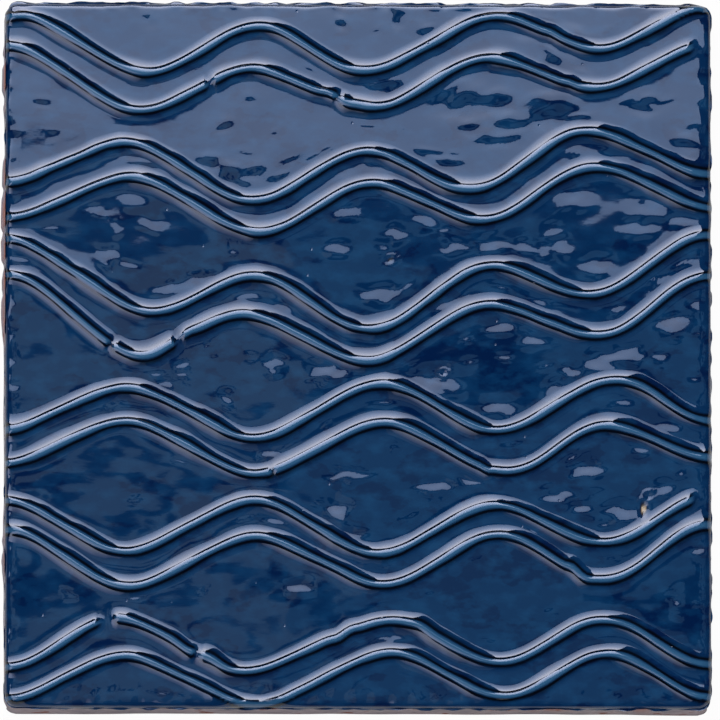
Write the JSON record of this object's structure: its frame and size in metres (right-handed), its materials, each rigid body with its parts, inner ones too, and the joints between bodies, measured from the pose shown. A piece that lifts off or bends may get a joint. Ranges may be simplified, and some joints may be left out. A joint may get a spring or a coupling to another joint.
{
  "type": "handmade relief tile",
  "caption": "Square handmade tile of glazed fired clay, with pairs of raised wavy beads across its face and a flat back to lay it on.",
  "frame": {"origin": "middle of the flat back", "axes": "+Z out of the glazed face, +Y towards the tile's upper edge, +X to the right along the beads, seen from the face"},
  "size_m": [0.1516, 0.1516, 0.0121],
  "materials": {
    "glaze": "glossy cobalt blue glaze, thinner and lighter on the beads, with bare fired clay on the sides and back"
  },
  "bodies": {
    "root": {"tile": "glaze"}
  },
  "joints": []
}
